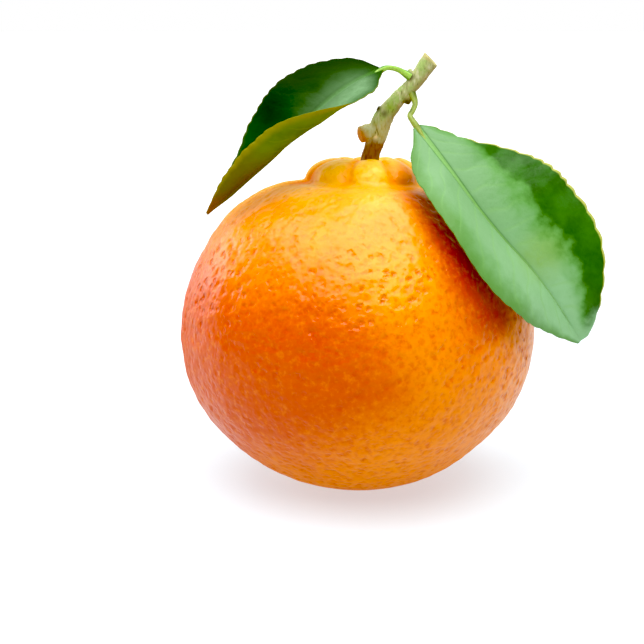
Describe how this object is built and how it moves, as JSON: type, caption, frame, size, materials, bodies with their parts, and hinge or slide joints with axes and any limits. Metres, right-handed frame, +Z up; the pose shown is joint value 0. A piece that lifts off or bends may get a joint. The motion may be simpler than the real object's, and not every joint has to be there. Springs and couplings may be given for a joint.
{
  "type": "mandarin orange",
  "caption": "Round loose-skinned citrus fruit with a lobed neck, a cut twig, and toothed leaves on thin stalks.",
  "frame": {"origin": "centre of the flat spot that the fruit rests on", "axes": "+Z up through the fruit to its stem; the twig leans to +X, the side the picture shows faces -Y"},
  "size_m": [0.0794, 0.0672, 0.0828],
  "materials": {
    "fruit": "glossy, finely pitted rind",
    "calyx": "dry, dull",
    "twig": "fine bark",
    "left_petiole": "satin",
    "right_petiole": "satin",
    "left_leaf": "waxy above, dull below",
    "right_leaf": "waxy above, dull below"
  },
  "bodies": {
    "root": {"fruit": "fruit", "calyx": "calyx", "twig": "twig", "left_petiole": "left_petiole", "right_petiole": "right_petiole", "left_leaf": "left_leaf", "right_leaf": "right_leaf"}
  },
  "joints": []
}
